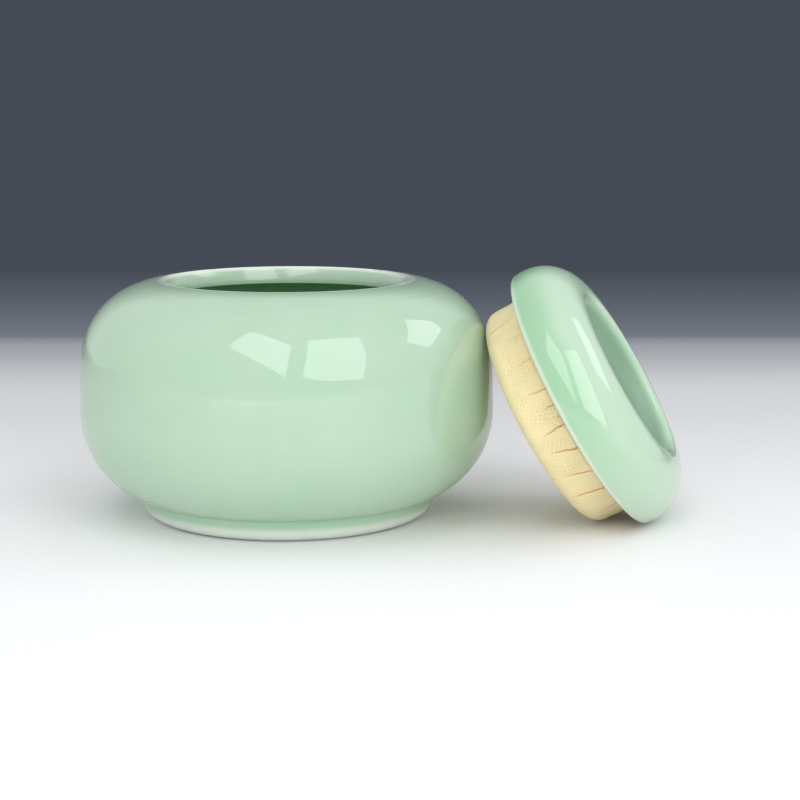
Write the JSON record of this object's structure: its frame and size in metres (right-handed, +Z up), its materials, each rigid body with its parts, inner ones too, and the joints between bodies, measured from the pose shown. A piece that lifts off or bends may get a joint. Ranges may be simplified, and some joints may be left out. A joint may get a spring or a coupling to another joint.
{
  "type": "lidded jar",
  "caption": "Low round lidded jar in pale green celadon, with a dished lift-off lid that carries a cloth-covered stopper and leans beside it.",
  "frame": {"origin": "centre of the jar's foot ring, on the surface the jar stands on", "axes": "+Z up along the jar's axis and out of its mouth, +X from the jar towards the leaning lid, -Y towards the front"},
  "size_m": [0.1748, 0.12, 0.0727],
  "materials": {
    "celadon_glaze": "glossy",
    "adhesive": "satin",
    "cork": "matte",
    "foam": "matte",
    "yellow_cloth": "matte",
    "thread": "matte"
  },
  "bodies": {
    "jar": {"jar_body": "celadon_glaze"},
    "lid": {"lid_cap": "celadon_glaze", "adhesive_disc": "adhesive", "stopper_core": "cork", "foam_band": "foam", "foam_pad": "foam", "stopper_cloth": "yellow_cloth", "gather_thread": "thread"}
  },
  "joints": [
    {"name": "lid_lift", "type": "slide", "parent": "jar", "child": "lid", "axis": [0, 0, 1], "range_m": [0, 0.2]}
  ]
}
